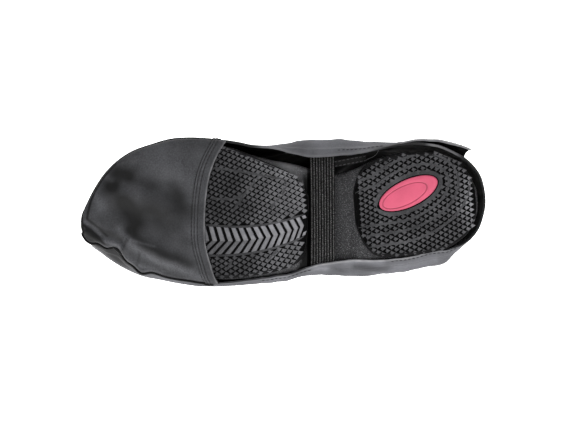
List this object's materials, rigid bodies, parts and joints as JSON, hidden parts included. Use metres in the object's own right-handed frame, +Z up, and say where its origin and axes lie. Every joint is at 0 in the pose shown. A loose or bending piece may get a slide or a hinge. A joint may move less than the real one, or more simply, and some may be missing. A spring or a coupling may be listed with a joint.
{
  "type": "rain overshoe",
  "caption": "Black coated-fabric rain overshoe for the right foot with toe pocket, elastic strap under the waist and heel flap, over a treaded sole, lying on its outer side.",
  "frame": {"origin": "centre of the bounding box on the floor that the shoe's outer side lies on", "axes": "+X towards the heel, +Y from the tread towards the collar, +Z up, which is the shoe's inner side"},
  "size_m": [0.3232, 0.2052, 0.1205],
  "materials": {
    "cover_fabric": "matte coated weave",
    "toe_fabric": "matte coated weave",
    "flap_fabric": "matte coated weave",
    "elastic": "ribbed elastic webbing",
    "forefoot_rubber": "satin tread",
    "chevron_rubber": "satin grey bars",
    "heel_rubber": "satin tread",
    "badge": "satin pink, plain",
    "sole_rubber": "fine grain",
    "insole_foam": "matte foam"
  },
  "bodies": {
    "root": {"upper": "cover_fabric", "toe_panel": "toe_fabric", "closure_flap": "flap_fabric", "elastic_strap": "elastic", "forefoot_tread": "forefoot_rubber", "chevron_strip": "chevron_rubber", "heel_tread": "heel_rubber", "heel_badge": "badge", "sole_body": "sole_rubber", "insole": "insole_foam"}
  },
  "joints": []
}
